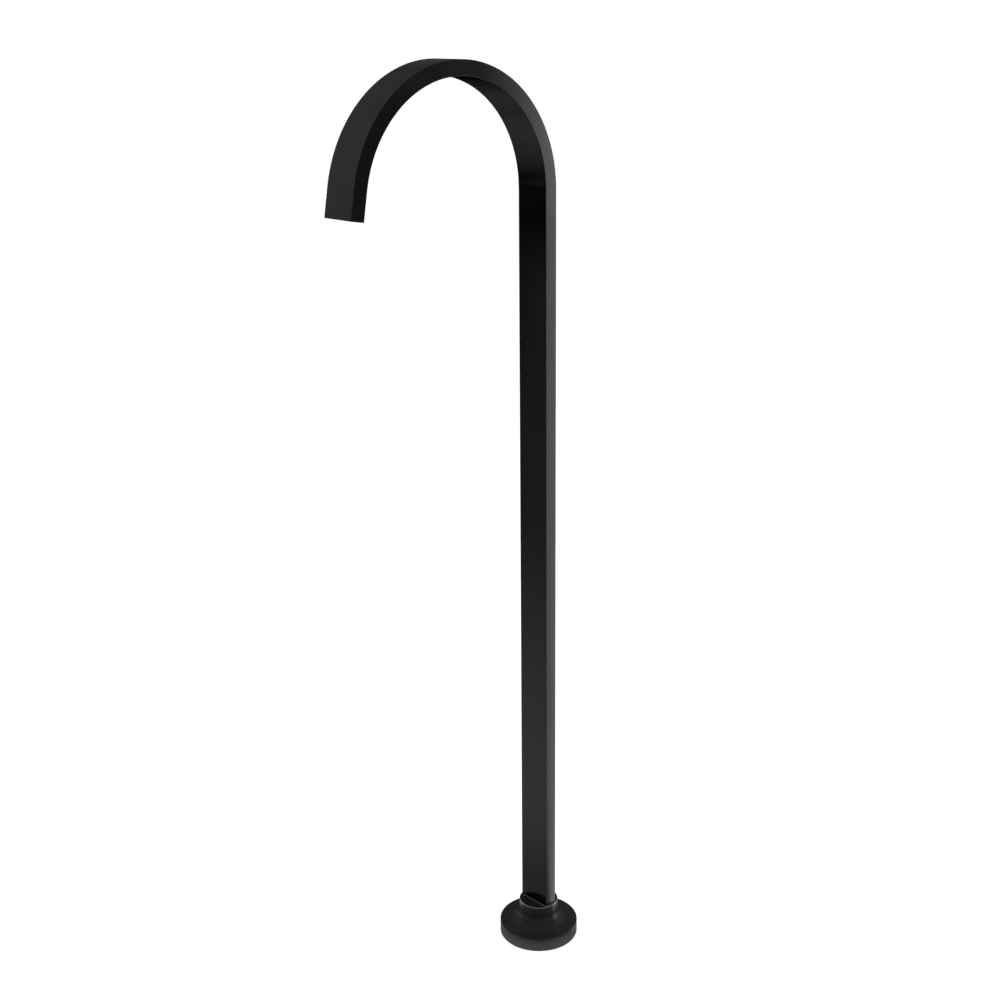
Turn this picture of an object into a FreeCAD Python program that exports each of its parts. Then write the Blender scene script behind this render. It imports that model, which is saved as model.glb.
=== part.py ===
"""Floor standing bath filler: a flat tube in one large arch, on a foot that turns in a floor base.

Millimetres, +Z up. The origin is where the column's axis meets the floor. The spout reaches towards -Y
and the flat tube's width runs along X.
"""
import FreeCAD, Part
import math
import os
import Sketcher
from FreeCAD import Placement, Rotation, Vector

QUARTER_TURN = math.pi / 2
FULL_TURN = 360
FLOOR_SCREWS = 4
GRUB_SCREWS = 3

doc = FreeCAD.newDocument("BathFiller")

# ---------------------------------------------------------------- driving sizes
# Lengths in millimetres, angles in degrees. "radius", "bore" and "wall" are measured from an axis or across
# one thickness.
SIZES = {
    # flat tube: column, arch and leg
    "tube_width": "40",
    "tube_depth": "16",
    "tube_wall": "1.5",
    "tube_edge": "0.6",
    "tube_inner_edge": "0.4",
    "arch_radius": "128",
    "arch_centre_height": "888",
    "arch_sweep": "170",
    "leg_length": "29",
    # cover flange
    "flange_radius": "46",
    "rim_edge": "0.8",
    "cover_wall": "2",
    "neck_wall": "0.95",
    "neck_flare": "14",
    "neck_inner_flare": "8",
    "neck_edge": "0.4",
    "cover_floor_gap": "0.3",
    "seal_width": "1",
    "seal_height": "1.5",
    # foot of the spout
    "head_thickness": "5",
    "head_recess": "0.3",
    "head_clearance": "0.3",
    "plug_height": "8",
    "plug_clearance": "0.05",
    "plug_wall": "1.45",
    # spigot and its rings
    "spigot_bore": "12",
    "spigot_clearance": "0.1",
    "ring_clearance": "0.04",
    "spigot_land": "1.1",
    "spigot_end_gap": "1",
    "o_ring_section": "2",
    "o_ring_groove_play": "0.6",
    "glide_ring_width": "2.5",
    "glide_ring_thickness": "1.1",
    # grub screws that keep the spigot in
    "screw_radius": "3",
    "screw_clearance": "0.02",
    "screw_sink": "0.5",
    "dog_radius": "2",
    "dog_reach": "1.4",
    "dog_clearance": "0.2",
    "key_width": "3",
    "key_depth": "3",
    # floor base
    "gasket_thickness": "1.5",
    "gasket_inset": "0.5",
    "gasket_bore_margin": "2.7",
    "plate_thickness": "10.5",
    "plate_clearance": "0.5",
    "plate_headroom": "2",
    "boss_clearance": "1.34",
    "cover_ring_section": "2.4",
    "thrust_washer_thickness": "1",
    "thrust_clearance": "0.05",
    "thread_radius": "9.3155",
    "thread_length": "10",
    "relief_depth": "1.3",
    "washer_thickness": "1.8",
    "washer_clearance": "0.1",
    "screen_thickness": "0.6",
    "web_thickness": "1.6",
    "passage_radius": "6",
    # floor screw holes
    "bolt_hole_radius": "3.25",
    "countersink_radius": "5.75",
    "gasket_hole_margin": "0.75",
    # outlet insert
    "outlet_recess": "1",
    "housing_length": "10",
    "housing_clearance": "0.05",
    "housing_wall": "1.2",
    "ledge_height": "1",
    "ledge_width": "0.6",
    "grid_clearance": "0.1",
    "grid_thickness": "6",
    "grid_hole": "2.4",
    "grid_bar": "0.5",
    "mesh_thickness": "0.6",
    "mesh_hole": "1.1",
    "mesh_bar": "0.7",
    "outlet_gasket_thickness": "1.2",
    # inlet screen
    "screen_hole_radius": "0.6",
    "screen_ring_pitch": "1.7",
}

# ---------------------------------------------------------------- worked out from the driving sizes
WORKED = {
    # base, from the floor up
    "plate_radius": "Sizes.flange_radius - Sizes.cover_wall - Sizes.plate_clearance",
    "gasket_radius": "plate_radius - Sizes.gasket_inset",
    "plate_bottom": "Sizes.gasket_thickness",
    "plate_top": "plate_bottom + Sizes.plate_thickness",
    "thread_top": "plate_bottom + Sizes.thread_length",
    "screen_bottom": "thread_top + Sizes.washer_thickness",
    "relief_top": "screen_bottom + Sizes.screen_thickness",
    "bore_floor": "relief_top + Sizes.web_thickness",
    "gasket_bore": "Sizes.thread_radius + Sizes.gasket_bore_margin",
    "relief_radius": "Sizes.thread_radius + Sizes.relief_depth",
    "washer_radius": "relief_radius - Sizes.washer_clearance",
    # spigot, from its lower end up
    "spigot_radius": "Sizes.spigot_bore - Sizes.spigot_clearance",
    "ring_radius": "Sizes.spigot_bore - Sizes.ring_clearance",
    "spigot_end": "bore_floor + Sizes.spigot_end_gap",
    "glide_groove_radius": "ring_radius - Sizes.glide_ring_thickness",
    "lower_glide_low": "spigot_end + Sizes.spigot_land",
    "lower_glide_high": "lower_glide_low + Sizes.glide_ring_width",
    "o_groove_width": "Sizes.o_ring_section + Sizes.o_ring_groove_play",
    "o_groove_radius": "ring_radius - Sizes.o_ring_section",
    "o_ring_centre": "ring_radius - Sizes.o_ring_section / 2",
    "lower_o_low": "lower_glide_high + Sizes.spigot_land",
    "lower_o_high": "lower_o_low + o_groove_width",
    "upper_o_low": "lower_o_high + Sizes.spigot_land",
    "upper_o_high": "upper_o_low + o_groove_width",
    "keeper_low": "upper_o_high + Sizes.spigot_land",
    "keeper_high": "keeper_low + 2 * (Sizes.dog_radius + Sizes.dog_clearance)",
    "keeper_height": "(keeper_low + keeper_high) / 2",
    "keeper_radius": "spigot_radius - Sizes.dog_reach - Sizes.dog_clearance",
    "upper_glide_low": "keeper_high + Sizes.spigot_land",
    "upper_glide_high": "upper_glide_low + Sizes.glide_ring_width",
    "head_bottom": "upper_glide_high + Sizes.spigot_land",
    "foot_top": "head_bottom + Sizes.head_thickness",
    "washer_top": "head_bottom - Sizes.thrust_clearance",
    "boss_top": "washer_top - Sizes.thrust_washer_thickness",
    # the tube's corners reach the edge of the head, and the cover's bore passes over both
    "head_radius": "sqrt(Sizes.tube_width ^ 2 + Sizes.tube_depth ^ 2) / 2",
    "cover_bore": "head_radius + Sizes.head_clearance",
    "neck_radius": "cover_bore + Sizes.neck_wall",
    "neck_top": "foot_top + Sizes.head_recess",
    "cover_inside_top": "plate_top + Sizes.plate_headroom",
    "rim_height": "cover_inside_top + Sizes.cover_wall",
    "flare": "min(Sizes.neck_flare; neck_top - rim_height - 2 * Sizes.neck_edge;"
             " Sizes.flange_radius - neck_radius - 2 * Sizes.rim_edge)",
    "boss_radius": "cover_bore - Sizes.boss_clearance",
    "bolt_circle_radius": "(boss_radius + plate_radius) / 2",
    "cover_inside_radius": "Sizes.flange_radius - Sizes.cover_wall",
    "seal_outer": "Sizes.flange_radius - (Sizes.cover_wall - Sizes.seal_width) / 2",
    "seal_inner": "seal_outer - Sizes.seal_width",
    # cover O-ring on the boss, under the grub screws
    "cover_ring_outer": "cover_bore - Sizes.ring_clearance",
    "cover_ring_centre": "cover_ring_outer - Sizes.cover_ring_section / 2",
    "cover_groove_radius": "cover_ring_outer - Sizes.cover_ring_section",
    "cover_groove_width": "Sizes.cover_ring_section + Sizes.o_ring_groove_play",
    "cover_groove_high": "keeper_height - Sizes.screw_radius - Sizes.spigot_land",
    "cover_groove_low": "cover_groove_high - cover_groove_width",
    # grub screws, along their own axes from the dog's tip outwards
    "dog_tip_radius": "spigot_radius - Sizes.dog_reach",
    "dog_length": "Sizes.spigot_bore - dog_tip_radius",
    "screw_length": "boss_radius - Sizes.screw_sink - dog_tip_radius",
    "screw_hole_radius": "Sizes.screw_radius + Sizes.screw_clearance",
    # tube and mouth
    "tube_inside_width": "Sizes.tube_width - 2 * Sizes.tube_wall",
    "tube_inside_depth": "Sizes.tube_depth - 2 * Sizes.tube_wall",
    "plug_width": "tube_inside_width - 2 * Sizes.plug_clearance",
    "plug_depth": "tube_inside_depth - 2 * Sizes.plug_clearance",
    "water_bore": "plug_depth / 2 - Sizes.plug_wall",
    "column_length": "Sizes.arch_centre_height - foot_top",
    "mouth_y": "Sizes.arch_radius * (cos(Sizes.arch_sweep) - 1) - Sizes.leg_length * sin(Sizes.arch_sweep)",
    "mouth_z": "Sizes.arch_centre_height + Sizes.arch_radius * sin(Sizes.arch_sweep)"
               " + Sizes.leg_length * cos(Sizes.arch_sweep)",
    # outlet insert, measured up the leg from the mouth
    "housing_width": "tube_inside_width - 2 * Sizes.housing_clearance",
    "housing_depth": "tube_inside_depth - 2 * Sizes.housing_clearance",
    "cavity_width": "housing_width - 2 * Sizes.housing_wall",
    "cavity_depth": "housing_depth - 2 * Sizes.housing_wall",
    "housing_top": "Sizes.outlet_recess + Sizes.housing_length",
    "grid_bottom": "Sizes.outlet_recess + Sizes.ledge_height",
    "grid_top": "grid_bottom + Sizes.grid_thickness",
    "grid_width": "cavity_width - 2 * Sizes.grid_clearance",
    "grid_depth": "cavity_depth - 2 * Sizes.grid_clearance",
}


def make_sheet(name, cells, prefix):
    """A spreadsheet with one alias per row; prefix is "=" where the cells hold formulas."""
    sheet = doc.addObject("Spreadsheet::Sheet", name)
    for row, (alias, content) in enumerate(cells.items(), start=1):
        sheet.set(f"A{row}", alias)
        sheet.set(f"B{row}", prefix + content)
        sheet.setAlias(f"B{row}", alias)
    return sheet


sizes = make_sheet("Sizes", SIZES, "")
worked = make_sheet("Worked", WORKED, "=")
doc.recompute()


# ---------------------------------------------------------------- sketching and turning
def new_body(label):
    """An empty body whose label is the node's name."""
    body = doc.addObject("PartDesign::Body", label)
    body.Label = label
    return body


def new_sketch(body, name, role, height="0"):
    """A sketch on one of the body's origin planes, raised along that plane's normal."""
    sketch = body.newObject("Sketcher::SketchObject", name)
    plane = next(feature for feature in body.Origin.OriginFeatures if feature.Role == role)
    sketch.AttachmentSupport = [(plane, "")]
    sketch.MapMode = "FlatFace"
    sketch.setExpression("AttachmentOffset.Base.z", height)
    return sketch


def number(formula):
    """The present value of a formula written in the sheets' names."""
    return float(sizes.evalExpression(formula))


def bind(sketch, constraint, formula):
    """Adds a constraint whose value follows a formula."""
    index = sketch.addConstraint(constraint)
    sketch.setExpression(f"Constraints[{index}]", formula)


def outline(sketch, corners):
    """A closed outline of straight edges; each corner is a pair of formulas (across, up)."""
    points = [Vector(number(across), number(up), 0) for across, up in corners]
    first = sketch.GeometryCount
    count = len(corners)
    for index in range(count):
        sketch.addGeometry(Part.LineSegment(points[index], points[(index + 1) % count]))
    for index in range(count):
        after = (index + 1) % count
        sketch.addConstraint(Sketcher.Constraint("Coincident", first + index, 2, first + after, 1))
    for index, (across, up) in enumerate(corners):
        point = points[index]
        bind(sketch, Sketcher.Constraint("DistanceX", -1, 1, first + index, 1, point.x), across)
        bind(sketch, Sketcher.Constraint("DistanceY", -1, 1, first + index, 1, point.y), up)


def circle(sketch, across, up, radius):
    """A circle placed and sized by formulas."""
    centre = Vector(number(across), number(up), 0)
    index = sketch.addGeometry(Part.Circle(centre, Vector(0, 0, 1), number(radius)))
    bind(sketch, Sketcher.Constraint("DistanceX", -1, 1, index, 3, centre.x), across)
    bind(sketch, Sketcher.Constraint("DistanceY", -1, 1, index, 3, centre.y), up)
    bind(sketch, Sketcher.Constraint("Radius", index, number(radius)), radius)


def centre_line(sketch, start, end):
    """A construction line between two points given as pairs of formulas, to turn a sketch about."""
    points = [Vector(number(across), number(up), 0) for across, up in (start, end)]
    index = sketch.addGeometry(Part.LineSegment(*points), True)
    for which, (point, (across, up)) in enumerate(zip(points, (start, end)), start=1):
        bind(sketch, Sketcher.Constraint("DistanceX", -1, 1, index, which, point.x), across)
        bind(sketch, Sketcher.Constraint("DistanceY", -1, 1, index, which, point.y), up)


def rounded_rectangle(sketch, width, depth, edge):
    """A rectangle about the sketch's origin with four equal corner arcs, joined smoothly."""
    half_width = number(width) / 2
    half_depth = number(depth) / 2
    radius = number(edge)
    signs = [(1, 1), (-1, 1), (-1, -1), (1, -1)]
    arcs = []
    for quarter, (side, end) in enumerate(signs):
        centre = Vector(side * (half_width - radius), end * (half_depth - radius), 0)
        corner = Part.Circle(centre, Vector(0, 0, 1), radius)
        start = quarter * QUARTER_TURN
        arcs.append(sketch.addGeometry(Part.ArcOfCircle(corner, start, start + QUARTER_TURN)))
    sides = []
    for quarter in range(4):
        start = sketch.getPoint(arcs[quarter], 2)
        end = sketch.getPoint(arcs[(quarter + 1) % 4], 1)
        sides.append(sketch.addGeometry(Part.LineSegment(start, end)))
    for quarter in range(4):
        after = arcs[(quarter + 1) % 4]
        sketch.addConstraint(Sketcher.Constraint("Tangent", arcs[quarter], 2, sides[quarter], 1))
        sketch.addConstraint(Sketcher.Constraint("Tangent", sides[quarter], 2, after, 1))
        level = "Horizontal" if quarter % 2 == 0 else "Vertical"
        sketch.addConstraint(Sketcher.Constraint(level, sides[quarter]))
    top, left, bottom, right = sides
    bind(sketch, Sketcher.Constraint("DistanceY", -1, 1, top, 1, half_depth), f"({depth}) / 2")
    bind(sketch, Sketcher.Constraint("DistanceX", -1, 1, left, 1, -half_width), f"-({width}) / 2")
    bind(sketch, Sketcher.Constraint("DistanceY", -1, 1, bottom, 1, -half_depth), f"-({depth}) / 2")
    bind(sketch, Sketcher.Constraint("DistanceX", -1, 1, right, 1, half_width), f"({width}) / 2")
    for arc in arcs[1:]:
        sketch.addConstraint(Sketcher.Constraint("Equal", arcs[0], arc))
    bind(sketch, Sketcher.Constraint("Radius", arcs[0], radius), edge)


def pad(body, name, profile, length, reverse=False):
    """Material from a sketch or face, as thick as the formula says."""
    feature = body.newObject("PartDesign::Pad", name)
    feature.Profile = profile
    feature.Reversed = reverse
    feature.setExpression("Length", length)
    doc.recompute()
    return feature


def pocket(body, name, profile, length, reverse=False):
    """A hole cut from a sketch, as deep as the formula says; it must take material away."""
    before = body.Shape.Volume
    feature = body.newObject("PartDesign::Pocket", name)
    feature.Profile = profile
    feature.Reversed = reverse
    feature.setExpression("Length", length)
    doc.recompute()
    if body.Shape.Volume >= before:
        raise RuntimeError(f"{body.Label}: {name} cuts nothing")
    return feature


def around(body, name, feature, count):
    """Repeats a feature about the vertical axis, evenly over a full turn."""
    pattern = body.newObject("PartDesign::PolarPattern", name)
    pattern.Originals = [feature]
    axis = next(line for line in body.Origin.OriginFeatures if line.Role == "Z_Axis")
    pattern.Axis = (axis, [""])
    pattern.Angle = FULL_TURN
    pattern.Occurrences = count
    body.Tip = pattern
    doc.recompute()
    return pattern


def turned(label, corners):
    """A body turned about the vertical axis from an outline of (radius, height) formulas."""
    body = new_body(label)
    sketch = new_sketch(body, label + "_outline", "XZ_Plane")
    outline(sketch, corners)
    revolution = body.newObject("PartDesign::Revolution", label + "_turned")
    revolution.Profile = sketch
    revolution.ReferenceAxis = (sketch, ["V_Axis"])
    revolution.Angle = FULL_TURN
    doc.recompute()
    return body


def turned_ring(label, inner, outer, low, high):
    """A turned ring of rectangular section."""
    return turned(label, [(inner, low), (outer, low), (outer, high), (inner, high)])


def o_ring(label, centre_radius, section, height):
    """A round ring of round section about the vertical axis."""
    ring = doc.addObject("Part::Torus", label)
    ring.Label = label
    ring.setExpression("Radius1", centre_radius)
    ring.setExpression("Radius2", f"({section}) / 2")
    ring.setExpression("Placement.Base.z", height)
    return ring


def circular_edge(shape, radius, height):
    """The name of the full circular edge of this radius at this height."""
    for index, edge in enumerate(shape.Edges, start=1):
        if not isinstance(edge.Curve, Part.Circle):
            continue
        level = abs(edge.Curve.Center.z - number(height)) < 1e-6
        if level and abs(edge.Curve.Radius - number(radius)) < 1e-6:
            return f"Edge{index}"
    raise RuntimeError(f"no edge of radius {radius} at height {height}")


def soften(body, name, kind, radius, height, size):
    """A fillet or chamfer on one circular edge of the body."""
    base = body.Tip
    edge = circular_edge(base.Shape, radius, height)
    feature = body.newObject(f"PartDesign::{kind}", name)
    feature.Base = (base, [edge])
    feature.setExpression("Radius" if kind == "Fillet" else "Size", size)
    doc.recompute()
    return feature


def sleeve_section(sketch, outer_width, outer_depth, outer_edge, inner_width, inner_depth, inner_edge):
    """Two rounded rectangles, one inside the other: the section of a rectangular tube."""
    rounded_rectangle(sketch, outer_width, outer_depth, outer_edge)
    rounded_rectangle(sketch, inner_width, inner_depth, inner_edge)


# ---------------------------------------------------------------- base: fixed to the floor
def floor_base():
    """Plate and boss in one: inlet thread below, spigot bore above, four countersunk floor screw holes."""
    body = turned("floor_base", [
        ("Sizes.thread_radius", "Worked.plate_bottom"),
        ("Worked.plate_radius", "Worked.plate_bottom"),
        ("Worked.plate_radius", "Worked.plate_top"),
        ("Worked.boss_radius", "Worked.plate_top"),
        ("Worked.boss_radius", "Worked.cover_groove_low"),
        ("Worked.cover_groove_radius", "Worked.cover_groove_low"),
        ("Worked.cover_groove_radius", "Worked.cover_groove_high"),
        ("Worked.boss_radius", "Worked.cover_groove_high"),
        ("Worked.boss_radius", "Worked.boss_top"),
        ("Sizes.spigot_bore", "Worked.boss_top"),
        ("Sizes.spigot_bore", "Worked.bore_floor"),
        ("Sizes.passage_radius", "Worked.bore_floor"),
        ("Sizes.passage_radius", "Worked.relief_top"),
        ("Worked.relief_radius", "Worked.relief_top"),
        ("Worked.relief_radius", "Worked.thread_top"),
        ("Sizes.thread_radius", "Worked.thread_top"),
    ])
    axis = "Worked.bolt_circle_radius"
    wall = f"{axis} + Sizes.bolt_hole_radius"
    mouth = f"{axis} + Sizes.countersink_radius"
    cone_bottom = "Worked.plate_top - (Sizes.countersink_radius - Sizes.bolt_hole_radius)"
    sketch = new_sketch(body, "floor_screw_outline", "XZ_Plane")
    outline(sketch, [
        (axis, "Worked.plate_bottom"),
        (wall, "Worked.plate_bottom"),
        (wall, cone_bottom),
        (mouth, "Worked.plate_top"),
        (axis, "Worked.plate_top"),
    ])
    centre_line(sketch, (axis, "Worked.plate_bottom"), (axis, "Worked.plate_top"))
    before = body.Shape.Volume
    hole = body.newObject("PartDesign::Groove", "floor_screw_hole")
    hole.Profile = sketch
    hole.ReferenceAxis = (sketch, ["Axis0"])
    hole.Angle = FULL_TURN
    doc.recompute()
    if body.Shape.Volume >= before:
        raise RuntimeError("floor_base: the floor screw hole cuts nothing")
    around(body, "floor_screw_holes", hole, FLOOR_SCREWS)
    sketch = new_sketch(body, "grub_screw_outline", "XZ_Plane")
    circle(sketch, "0", "Worked.keeper_height", "Worked.screw_hole_radius")
    hole = pocket(body, "grub_screw_hole", sketch, "Worked.boss_radius + 1")
    around(body, "grub_screw_holes", hole, GRUB_SCREWS)
    return body


def base_gasket():
    """Flat rubber ring under the plate, with a clear hole for each floor screw."""
    body = turned_ring("base_gasket", "Worked.gasket_bore", "Worked.gasket_radius", "0",
                       "Worked.plate_bottom")
    sketch = new_sketch(body, "gasket_hole_outline", "XY_Plane")
    circle(sketch, "Worked.bolt_circle_radius", "0", "Sizes.bolt_hole_radius + Sizes.gasket_hole_margin")
    hole = pocket(body, "gasket_hole", sketch, "Sizes.gasket_thickness", reverse=True)
    around(body, "gasket_holes", hole, FLOOR_SCREWS)
    return body


def grub_screw(index):
    """A headless screw with a hexagon socket and a plain dog that runs in the spigot's keeper groove."""
    label = f"grub_screw_{index + 1}"
    body = turned(label, [
        ("0", "0"),
        ("Sizes.dog_radius", "0"),
        ("Sizes.dog_radius", "Worked.dog_length"),
        ("Sizes.screw_radius", "Worked.dog_length"),
        ("Sizes.screw_radius", "Worked.screw_length"),
        ("0", "Worked.screw_length"),
    ])
    sketch = new_sketch(body, label + "_socket_outline", "XY_Plane", "Worked.screw_length")
    corner = "Sizes.key_width / sqrt(3)"
    outline(sketch, [(f"{corner} * cos({turn})", f"{corner} * sin({turn})") for turn in range(0, 360, 60)])
    pocket(body, label + "_socket", sketch, "Sizes.key_depth")
    turn = FULL_TURN / 4 + index * FULL_TURN / GRUB_SCREWS
    outwards = Vector(math.cos(math.radians(turn)), math.sin(math.radians(turn)), 0)
    body.Placement = Placement(Vector(), Rotation(Vector(0, 0, 1), outwards))
    body.setExpression("Placement.Base.x", f"Worked.dog_tip_radius * cos({turn})")
    body.setExpression("Placement.Base.y", f"Worked.dog_tip_radius * sin({turn})")
    body.setExpression("Placement.Base.z", "Worked.keeper_height")
    return body


def inlet_screen():
    """A perforated strainer disc: one middle hole and rings of holes as far as the passage reaches."""
    body = turned_ring("inlet_screen", "0", "Worked.washer_radius", "Worked.screen_bottom",
                       "Worked.relief_top")
    sketch = new_sketch(body, "screen_middle_outline", "XY_Plane", "Worked.relief_top")
    circle(sketch, "0", "0", "Sizes.screen_hole_radius")
    pocket(body, "screen_middle_hole", sketch, "Sizes.screen_thickness")
    reach = number("Sizes.passage_radius - Sizes.screen_hole_radius")
    for ring in range(1, int(reach / number("Sizes.screen_ring_pitch")) + 1):
        sketch = new_sketch(body, f"screen_ring_{ring}_outline", "XY_Plane", "Worked.relief_top")
        circle(sketch, f"{ring} * Sizes.screen_ring_pitch", "0", "Sizes.screen_hole_radius")
        hole = pocket(body, f"screen_ring_{ring}_hole", sketch, "Sizes.screen_thickness")
        around(body, f"screen_ring_{ring}_holes", hole, 6 * ring)
    return body


# ---------------------------------------------------------------- spout: turns in the base
def spout_tube():
    """Column, arch and leg of one flat tube with a slight radius along its edges."""
    body = new_body("spout_tube")
    section = new_sketch(body, "tube_section", "XY_Plane", "Sizes.arch_centre_height")
    sleeve_section(section, "Sizes.tube_width", "Sizes.tube_depth", "Sizes.tube_edge",
                   "Worked.tube_inside_width", "Worked.tube_inside_depth", "Sizes.tube_inner_edge")
    half = "Sizes.tube_width / 2"
    centre_line(section, (f"-{half}", "-Sizes.arch_radius"), (half, "-Sizes.arch_radius"))
    arch = body.newObject("PartDesign::Revolution", "arch")
    arch.Profile = section
    arch.ReferenceAxis = (section, ["Axis0"])
    arch.setExpression("Angle", "Sizes.arch_sweep")
    doc.recompute()
    column = pad(body, "column", section, "Worked.column_length", reverse=True)
    sweep = math.radians(number("Sizes.arch_sweep"))
    radius = number("Sizes.arch_radius")
    arch_end = Vector(0, radius * (math.cos(sweep) - 1),
                      number("Sizes.arch_centre_height") + radius * math.sin(sweep))
    faces = column.Shape.Faces
    nearest = min(range(len(faces)), key=lambda index: (faces[index].CenterOfMass - arch_end).Length)
    pad(body, "leg", (column, [f"Face{nearest + 1}"]), "Sizes.leg_length")
    return body


def spout_foot():
    """Turned foot: plug into the tube above, round head, and a grooved spigot below, bored for the water."""
    grooves = [
        ("Worked.lower_glide_low", "Worked.lower_glide_high", "Worked.glide_groove_radius"),
        ("Worked.lower_o_low", "Worked.lower_o_high", "Worked.o_groove_radius"),
        ("Worked.upper_o_low", "Worked.upper_o_high", "Worked.o_groove_radius"),
        ("Worked.keeper_low", "Worked.keeper_high", "Worked.keeper_radius"),
        ("Worked.upper_glide_low", "Worked.upper_glide_high", "Worked.glide_groove_radius"),
    ]
    corners = [("Worked.water_bore", "Worked.spigot_end"), ("Worked.spigot_radius", "Worked.spigot_end")]
    for low, high, floor in grooves:
        corners += [("Worked.spigot_radius", low), (floor, low)]
        corners += [(floor, high), ("Worked.spigot_radius", high)]
    corners += [
        ("Worked.spigot_radius", "Worked.head_bottom"),
        ("Worked.head_radius", "Worked.head_bottom"),
        ("Worked.head_radius", "Worked.foot_top"),
        ("Worked.water_bore", "Worked.foot_top"),
    ]
    body = turned("spout_foot", corners)
    section = new_sketch(body, "plug_section", "XY_Plane", "Worked.foot_top")
    rounded_rectangle(section, "Worked.plug_width", "Worked.plug_depth", "Sizes.tube_inner_edge")
    circle(section, "0", "0", "Worked.water_bore")
    pad(body, "plug", section, "Sizes.plug_height")
    return body


def at_mouth(body):
    """Places a piece whose own vertical axis runs up the leg from the tube's mouth."""
    body.setExpression("Placement", "placement(vector(0; Worked.mouth_y; Worked.mouth_z);"
                                    " rotation(vector(1; 0; 0); Sizes.arch_sweep - 180))")
    doc.recompute()
    return body


def outlet_housing():
    """Rectangular insert with a ledge at its lower end that carries the straightener."""
    body = new_body("outlet_housing")
    ledge = new_sketch(body, "housing_ledge_section", "XY_Plane", "Sizes.outlet_recess")
    sleeve_section(ledge, "Worked.housing_width", "Worked.housing_depth", "Sizes.tube_inner_edge",
                   "Worked.cavity_width - 2 * Sizes.ledge_width",
                   "Worked.cavity_depth - 2 * Sizes.ledge_width", "Sizes.tube_inner_edge")
    pad(body, "housing_ledge", ledge, "Sizes.ledge_height")
    wall = new_sketch(body, "housing_wall_section", "XY_Plane", "Worked.grid_bottom")
    sleeve_section(wall, "Worked.housing_width", "Worked.housing_depth", "Sizes.tube_inner_edge",
                   "Worked.cavity_width", "Worked.cavity_depth", "Sizes.tube_inner_edge")
    pad(body, "housing_wall", wall, "Sizes.housing_length - Sizes.ledge_height")
    return at_mouth(body)


def holed_plate(label, low, thickness, hole, bar):
    """A rectangular plate full of square holes, as many as its width and depth hold."""
    body = new_body(label)
    section = new_sketch(body, label + "_section", "XY_Plane", low)
    rounded_rectangle(section, "Worked.grid_width", "Worked.grid_depth", "Sizes.tube_inner_edge")
    pad(body, label + "_plate", section, thickness)
    pitch = f"({hole} + {bar})"
    columns = int(number(f"(Worked.grid_width - {bar}) / {pitch}"))
    rows = int(number(f"(Worked.grid_depth - {bar}) / {pitch}"))
    holes = new_sketch(body, label + "_hole_outline", "XY_Plane", low)
    middle = f"-{(columns - 1) / 2} * {pitch}"
    left = f"{middle} - {hole} / 2"
    right = f"{middle} + {hole} / 2"
    for row in range(rows):
        level = f"{row - (rows - 1) / 2} * {pitch}"
        front = f"{level} - {hole} / 2"
        back = f"{level} + {hole} / 2"
        outline(holes, [(left, front), (right, front), (right, back), (left, back)])
    column = pocket(body, label + "_hole_column", holes, thickness, reverse=True)
    pattern = body.newObject("PartDesign::LinearPattern", label + "_holes")
    pattern.Originals = [column]
    axis = next(line for line in body.Origin.OriginFeatures if line.Role == "X_Axis")
    pattern.Direction = (axis, [""])
    pattern.setExpression("Length", f"{columns - 1} * {pitch}")
    pattern.Occurrences = columns
    body.Tip = pattern
    doc.recompute()
    return at_mouth(body)


def outlet_gasket():
    """Rubber frame on the housing's upper end."""
    body = new_body("outlet_gasket")
    section = new_sketch(body, "outlet_gasket_section", "XY_Plane", "Worked.housing_top")
    sleeve_section(section, "Worked.housing_width", "Worked.housing_depth", "Sizes.tube_inner_edge",
                   "Worked.cavity_width", "Worked.cavity_depth", "Sizes.tube_inner_edge")
    pad(body, "outlet_gasket_frame", section, "Sizes.outlet_gasket_thickness")
    return at_mouth(body)


# ---------------------------------------------------------------- cover: lifts up the column
def cover_flange():
    """Thin turned cover: upright rim, flat top that flares into the neck, and a groove for its seal."""
    body = turned("cover_flange", [
        ("Worked.cover_bore", "Worked.neck_top"),
        ("Worked.neck_radius", "Worked.neck_top"),
        ("Worked.neck_radius", "Worked.rim_height"),
        ("Sizes.flange_radius", "Worked.rim_height"),
        ("Sizes.flange_radius", "Sizes.cover_floor_gap"),
        ("Worked.seal_outer", "Sizes.cover_floor_gap"),
        ("Worked.seal_outer", "Sizes.seal_height"),
        ("Worked.seal_inner", "Sizes.seal_height"),
        ("Worked.seal_inner", "Sizes.cover_floor_gap"),
        ("Worked.cover_inside_radius", "Sizes.cover_floor_gap"),
        ("Worked.cover_inside_radius", "Worked.cover_inside_top"),
        ("Worked.cover_bore", "Worked.cover_inside_top"),
    ])
    soften(body, "neck_flare", "Fillet", "Worked.neck_radius", "Worked.rim_height", "Worked.flare")
    soften(body, "neck_inner_flare", "Fillet", "Worked.cover_bore", "Worked.cover_inside_top",
           "Sizes.neck_inner_flare")
    soften(body, "rim_edge", "Fillet", "Sizes.flange_radius", "Worked.rim_height", "Sizes.rim_edge")
    soften(body, "neck_edge", "Chamfer", "Worked.neck_radius", "Worked.neck_top", "Sizes.neck_edge")
    return body


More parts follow.
